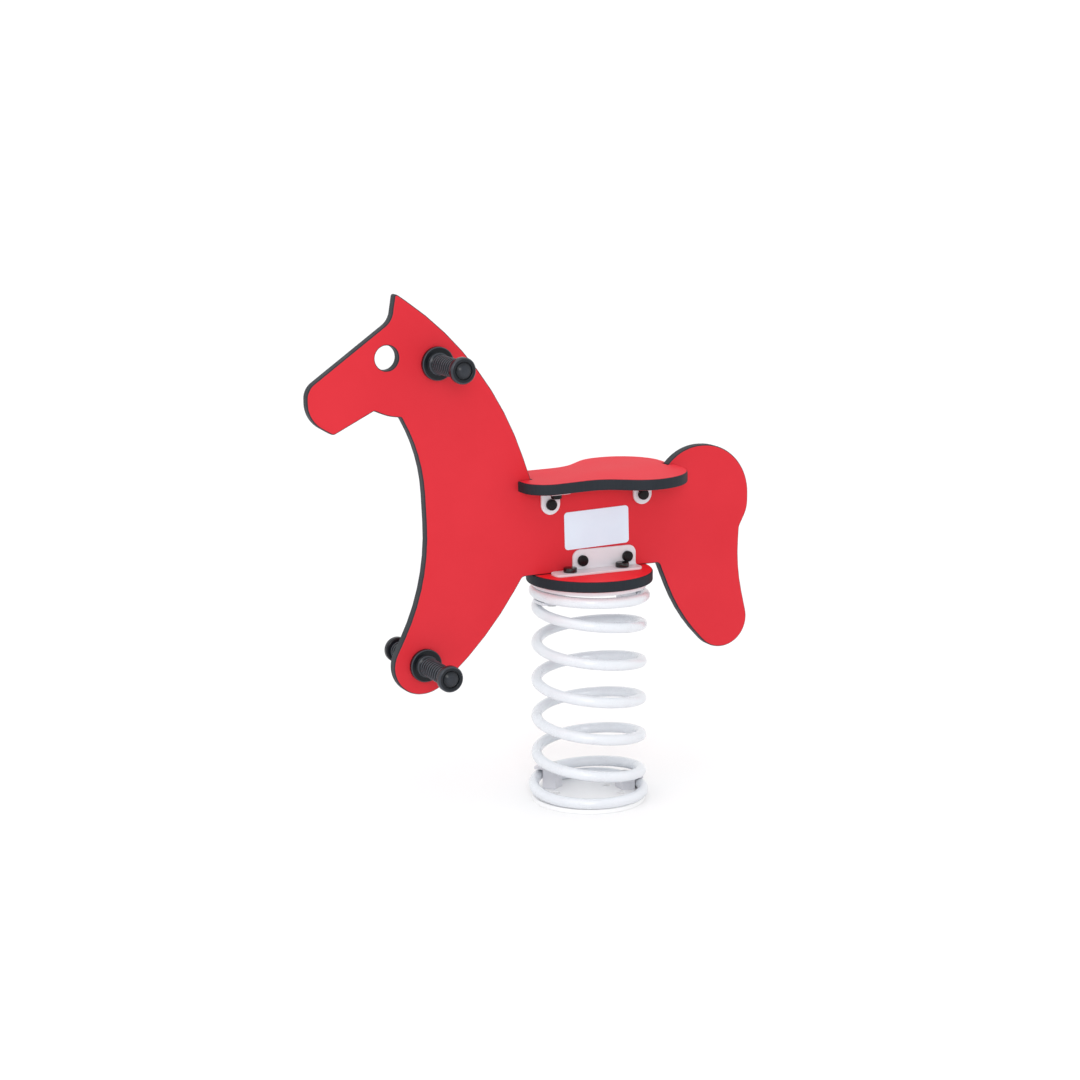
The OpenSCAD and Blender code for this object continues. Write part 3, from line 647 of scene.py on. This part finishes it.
middleTurn = springWire["wireTurn"] / 2
springLower = makeWire("springLower", 0.0, middleTurn, middleTurn, springWire)
springUpper = makeWire("springUpper", middleTurn, springWire["wireTurn"], middleTurn, springWire)
for piece, bodies, bend in ((springLower, ("foot", "spring"), springWire["lowerBend"]),
                            (springUpper, ("spring", "rider"), springWire["upperBend"])):
    piece.data.materials.clear()
    piece.data.materials.append(whiteWire)
    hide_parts("spring")
    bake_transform(piece)
print("spring made")


# cover caps: one turned cap of each kind, copied onto every head and nut

coverCap = {
    "shoulder": 0.0022, "shoulderArc": 80, "crown": 0.0004, "crownRings": (0.9, 0.75, 0.55, 0.3, 0.05),
    "lip": 0.0004, "sides": 48, "smoothAngle": 40,
}
capSizes = {
    "small": {"radius": 0.0094, "height": 0.0074}, "large": {"radius": 0.01175, "height": 0.0085},
    "hanging": {"radius": 0.0094, "height": 0.0098},
}
capGroups = {
    "deckCaps": ("deck_caps", "large", "up"), "bellyCaps": ("belly_caps", "small", "side"),
    "seatCrossCaps": ("seat_cross_caps", "small", "side"),
    "seatScrewCaps": ("seat_screw_caps", "hanging", "under"),
}


def makeCap(name, radius, height, c):
    top = height - c["crown"]
    ring = radius - c["shoulder"]
    profile = [(radius - c["lip"], 0.0), (radius, c["lip"]), (radius, top - c["shoulder"])]
    profile += quarterRound((ring, top - c["shoulder"]), c["shoulder"], 0, c["shoulderArc"])
    profile += [(ring * k, top + c["crown"] * (1 - k * k)) for k in c["crownRings"]]
    cap = turnOnLathe(name, profile, c["sides"])
    pickOnly(cap)
    bpy.ops.object.shade_smooth_by_angle(angle=math.radians(c["smoothAngle"]))
    return cap


def capPlace(low, high, facing):
    middle = (low + high) / 2
    if facing == "up":
        return Matrix.Translation((middle.x, middle.y, low.z))
    if facing == "under":  # starts at the face of a small cap, so that a hanging one only reaches lower
        lean = Matrix.Rotation(math.radians(seatTilt), 4, "Y") @ Matrix.Rotation(math.pi, 4, "X")
        start = -capSizes["small"]["height"] / 2
        return Matrix.Translation(middle) @ lean @ Matrix.Translation((0, 0, start))
    return sidePlace(low, high)


capMasters = {size: makeCap(size + "Cap", c=coverCap, **values) for size, values in capSizes.items()}
for name, (node, size, facing) in capGroups.items():
    copies = [copyPlaced(capMasters[size], name + str(i), capPlace(low, high, facing))
              for i, (low, high) in enumerate(looseParts(node))]
    finishPiece(joinPieces(copies, name), "rider", "black_cap",
                deckCapPlastic if size == "large" else capPlastic, node)
for cap in capMasters.values():
    bpy.data.objects.remove(cap)
print("caps made")


# pegs: a turned grip with a flange, fine ribs and a round end, and a domed plug in the end

pegGrip = {
    "reach": 0.108, "sides": 64, "smoothAngle": 50,
    "flangeRadius": 0.028, "flangeThick": 0.008, "flangeEdge": 0.0006, "flangeRound": 0.0022, "flangeArc": 84,
    "collarRadius": 0.0185, "collarTop": 0.012, "collarEdge": 0.0009,
    "footOut": 0.0022, "footRise": 0.0002, "footRound": 0.0016, "footRoundRise": 0.0018, "footSteps": 4,
    "neck": 0.0030, "neckOut": 0.0006, "neckOutRise": 0.0003, "neckRise": 0.0010,
    "ribRadius": 0.0136, "ribRise": 0.0024, "ribs": 10, "ribSteps": 12,
    "endRadius": 0.022, "endThick": 0.013, "endRound": 0.0034, "endArc": 86, "endSteps": 6,
    "endFoot": 0.001, "endFootRise": 0.0003,
    "plugRing": 0.0148, "plugRingEdge": 0.0006, "plugRingTaper": 0.0004, "plugSeat": 0.0026,
}
pegPlug = {
    "radius": 0.0135, "below": 0.0012, "edge": 0.0004, "edgeRise": 0.0006,
    "shoulder": 0.0012, "shoulderRise": 0.0010,
    "dome": 0.0038, "domePower": 2.2, "domeRings": (0.94, 0.86, 0.75, 0.62, 0.48, 0.32, 0.16, 0.04),
}


def makeGrip(g):
    flangeTop, flangeRound, collar = g["flangeThick"], g["flangeRound"], g["collarRadius"]
    endStart = g["reach"] - g["endThick"]
    profile = [(g["flangeRadius"] - g["flangeEdge"], 0.0), (g["flangeRadius"], g["flangeEdge"])]
    profile += quarterRound((g["flangeRadius"] - flangeRound, flangeTop - flangeRound), flangeRound,
                            0, g["flangeArc"])
    profile += [(collar + g["footOut"], flangeTop + g["footRise"])]
    profile += quarterRound((collar + g["footRound"], flangeTop + g["footRoundRise"]), g["footRound"],
                            270, 180, g["footSteps"])
    profile += [(collar, g["collarTop"] - g["collarEdge"]), (collar - g["collarEdge"], g["collarTop"])]
    ribStart = g["collarTop"] + g["neck"]
    pitch = (endStart - ribStart) / g["ribs"]
    profile += [(g["ribRadius"] + g["neckOut"], g["collarTop"] + g["neckOutRise"]),
                (g["ribRadius"], g["collarTop"] + g["neckRise"])]
    for i in range(g["ribs"]):
        for k in range(g["ribSteps"]):
            share = k / g["ribSteps"]
            swell = math.sin(math.pi * share) ** 2
            profile.append((g["ribRadius"] + g["ribRise"] * swell, ribStart + pitch * (i + share)))
    rim, endRound, ring = g["endRadius"] - g["endRound"], g["endRound"], g["plugRing"]
    profile += [(g["ribRadius"], endStart), (rim - g["endFoot"], endStart + g["endFootRise"])]
    profile += quarterRound((rim, endStart + endRound), endRound, -g["endArc"], 0, g["endSteps"])
    profile += quarterRound((rim, g["reach"] - endRound), endRound, 0, g["endArc"], g["endSteps"])
    profile += [(ring + g["plugRingEdge"], g["reach"]), (ring, g["reach"] - g["plugRingEdge"]),
                (ring - g["plugRingTaper"], g["reach"] - g["plugSeat"])]
    return turnOnLathe("gripMaster", profile, g["sides"])


def makePlug(p, g):
    low = g["reach"] - g["plugSeat"]
    side = low + g["plugSeat"] - p["below"]
    crown = p["radius"] - p["shoulder"]
    profile = [(p["radius"], low), (p["radius"], side), (p["radius"] - p["edge"], side + p["edgeRise"]),
               (crown, side + p["shoulderRise"])]
    for k in p["domeRings"]:
        profile.append((crown * k, side + p["shoulderRise"] + p["dome"] * (1 - k ** p["domePower"])))
    return turnOnLathe("plugMaster", profile, g["sides"])


def markPaintedHighlight(piece, level):
    # level gives the painted highlight from a point's radius and height while the piece still stands on Z
    wear = piece.data.attributes.new("wear", "FLOAT", "POINT")
    for i, v in enumerate(piece.data.vertices):
        wear.data[i].value = level(math.hypot(v.co.x, v.co.y), v.co.z)


paintedHighlightOn = {
    "flangeRim": 0.45, "endRim": 0.40, "endFace": 0.06, "rimShare": 0.7,
    "collarBand": 0.0010, "pastCollar": 0.0005, "beforeEnd": 0.0001, "ribFrom": 0.72, "ribOver": 0.28,
    "plugLeast": 0.05, "plugMore": 0.22, "plugFrom": 0.95, "plugOver": 0.5,
}


# painted highlight on the flange rim and collar, the rib tops, the end rim, and faintly on the end face
def gripPaintedHighlight(radius, height):
    g, w = pegGrip, paintedHighlightOn
    endStart = g["reach"] - g["endThick"]
    if height < g["collarTop"] + w["pastCollar"]:
        onRim = (radius > g["flangeRadius"] - g["flangeRound"] * w["rimShare"]
                 and height > g["flangeThick"] - g["flangeRound"])
        onCollar = radius > g["collarRadius"] - w["collarBand"] and height > g["collarTop"] - w["collarBand"]
        return w["flangeRim"] if onRim or onCollar else 0.0
    if height < endStart - w["beforeEnd"]:
        return ease((radius - g["ribRadius"] - g["ribRise"] * w["ribFrom"]) / (g["ribRise"] * w["ribOver"]))
    onRim = radius > g["endRadius"] - g["endRound"] * w["rimShare"] and height > g["reach"] - g["endRound"]
    return w["endRim"] if onRim else w["endFace"]


# painted highlight on the plug dome, strongest in its middle
def plugPaintedHighlight(radius, height):
    w = paintedHighlightOn
    return w["plugLeast"] + w["plugMore"] * ease((w["plugFrom"] - radius / pegPlug["radius"]) / w["plugOver"])


gripMaster = makeGrip(pegGrip)
plugMaster = makePlug(pegPlug, pegGrip)
markPaintedHighlight(gripMaster, gripPaintedHighlight)
markPaintedHighlight(plugMaster, plugPaintedHighlight)
for master in (gripMaster, plugMaster):
    pickOnly(master)
    bpy.ops.object.shade_smooth_by_angle(angle=math.radians(pegGrip["smoothAngle"]))
for pair in ("handle", "footrest"):
    for side in ("left", "right"):
        place = sidePlace(*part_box(f"{pair}_grip_{side}"))
        grip = copyPlaced(gripMaster, f"{pair}Grip{side.title()}", place)
        finishPiece(grip, "rider", "peg_plastic", pegPlastic, f"{pair}_grip_{side}")
        plug = copyPlaced(plugMaster, f"{pair}Plug{side.title()}", place)
        finishPiece(plug, "rider", "peg_plastic", pegPlastic, f"{pair}_plug_{side}")
for master in (gripMaster, plugMaster):
    bpy.data.objects.remove(master)
print("pegs made")


# nameplate: a bare plate on the left side of the horse

namePlate = {
    "front": -0.053, "rear": 0.070, "low": 0.4488, "high": 0.5143, "turn": -1.7, "thick": 0.0012,
    "corner": 0.0065, "cornerSteps": 8, "rim": 0.0003, "rimSteps": 2,
}


def makePlate(p, face):
    bpy.ops.object.select_all(action="DESELECT")
    bpy.ops.mesh.primitive_cube_add(size=1.0, location=(0, 0, 0))
    plate = bpy.context.view_layer.objects.active
    plate.name = "namePlate"
    plate.data.name = "namePlate"
    middle = Vector(((p["front"] + p["rear"]) / 2, face - p["thick"] / 2, (p["low"] + p["high"]) / 2))
    size = Matrix.Diagonal((p["rear"] - p["front"], p["thick"], p["high"] - p["low"], 1))
    lean = Matrix.Rotation(math.radians(p["turn"]), 4, "Y")
    plate.data.transform(Matrix.Translation(middle) @ lean @ size)

    def runsThrough(edge):
        a, b = (plate.data.vertices[i].co for i in edge.vertices)
        return abs(a.y - b.y) > p["thick"] / 2

    pickEdges(plate, runsThrough)
    bpy.ops.mesh.bevel(offset=p["corner"], segments=p["cornerSteps"], affect="EDGES")
    editOff()
    easeRims(plate, p["rim"], p["rimSteps"])
    return plate


plateFoil = makePlainFinish("plateFoil", light=(0.71, 0.84, 0.95), dark=(0.65, 0.78, 0.90),
                            roughness=0.40, spread=0.08, grainScale=500.0, cloudScale=11.0,
                            bump=0.05, bumpDepth=0.0001)
plate = makePlate(namePlate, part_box("horse_panel")[0].y)
finishPiece(plate, "rider", "painted_steel", plateFoil)
print("plate made")


# carried-over fasteners

carriedOver = {"zinc_steel": zincPlating, "brass_insert": turnedBrass}
slotOf = {part["node"]: part["material_slot"] for part in frame["record"]["subparts"]}
for name, node in nodes.items():
    if not node.hide_render:
        node.data.materials.clear()
        node.data.materials.append(carriedOver[slotOf[name]])
print("fasteners finished")


# studio: pale floor, white surround that darkens towards the camera, soft lights from above and the left

studio = {
    "floorSize": 60.0, "floorColour": (0.89, 0.89, 0.895), "floorRoughness": 0.7, "floorSpecular": 0.2,
    "backWhite": 1.08, "frontGrey": 0.58, "fadeAlong": (0.35, 0.85, 0.25), "fadeFrom": -0.9, "fadeTo": -0.1,
    "skyStrength": 0.66, "skySpread": 60.0, "skySpot": (-1.5, -1.2, 3.0),
    "keyPower": 37.0, "keySize": 0.9, "keySpot": (-1.6, -3.6, 1.75), "aim": (-0.08, 0.0, 0.45),
}
bpy.ops.object.select_all(action="DESELECT")
bpy.ops.mesh.primitive_plane_add(size=studio["floorSize"], location=(0, 0, 0))
floor = bpy.context.view_layer.objects.active
floor.name = "floor"
floorFinish = bpy.data.materials.new("floorFinish")
floorFinish.use_nodes = True
floorShader = floorFinish.node_tree.nodes["Principled BSDF"]
floorShader.inputs["Base Color"].default_value = (*studio["floorColour"], 1)
floorShader.inputs["Roughness"].default_value = studio["floorRoughness"]
floorShader.inputs["Specular IOR Level"].default_value = studio["floorSpecular"]
floor.data.materials.append(floorFinish)

surround = bpy.data.worlds.new("surround")
surround.use_nodes = True
backdrop = surround.node_tree.nodes["Background"]
backdrop.inputs["Color"].default_value = (1, 1, 1, 1)
lookAt = addNode(surround.node_tree, "ShaderNodeTexCoord", -900, 0)
along = addNode(surround.node_tree, "ShaderNodeVectorMath", -700, 0, operation="DOT_PRODUCT")
along.inputs[1].default_value = studio["fadeAlong"]
surround.node_tree.links.new(lookAt.outputs["Generated"], along.inputs[0])
fadeOff = addNode(surround.node_tree, "ShaderNodeMapRange", -500, 0)
for label, key in (("From Min", "fadeFrom"), ("From Max", "fadeTo"),
                   ("To Min", "frontGrey"), ("To Max", "backWhite")):
    fadeOff.inputs[label].default_value = studio[key]
surround.node_tree.links.new(along.outputs["Value"], fadeOff.inputs["Value"])
surround.node_tree.links.new(fadeOff.outputs["Result"], backdrop.inputs["Strength"])
bpy.context.scene.world = surround


def addLight(name, kind, power, spot):
    lamp = bpy.data.lights.new(name, kind)
    lamp.energy = power
    light = bpy.data.objects.new(name, lamp)
    light.location = spot
    light.rotation_euler = (Vector(studio["aim"]) - Vector(spot)).to_track_quat("-Z", "Y").to_euler()
    bpy.context.scene.collection.objects.link(light)
    return lamp


addLight("softSky", "SUN", studio["skyStrength"], studio["skySpot"]).angle = math.radians(studio["skySpread"])
addLight("softKey", "AREA", studio["keyPower"], studio["keySpot"]).size = studio["keySize"]

cameraView = {"spot": (-1.8971, -3.6908, 1.2986), "right": (0.89854, -0.43890, 0.0),
              "up": (0.08707, 0.17826, 0.98012), "back": (-0.43017, -0.88068, 0.19839),
              "lens": 82.38, "sensor": 36.0}
lens = bpy.data.cameras.new("photoCamera")
lens.lens = cameraView["lens"]
lens.sensor_width = cameraView["sensor"]
camera = bpy.data.objects.new("photoCamera", lens)
turn = Matrix((cameraView["right"], cameraView["up"], cameraView["back"])).transposed().to_4x4()
camera.matrix_world = Matrix.Translation(cameraView["spot"]) @ turn
bpy.context.scene.collection.objects.link(camera)
bpy.context.scene.camera = camera
bpy.context.scene.view_settings.view_transform = "Standard"
print("studio made")
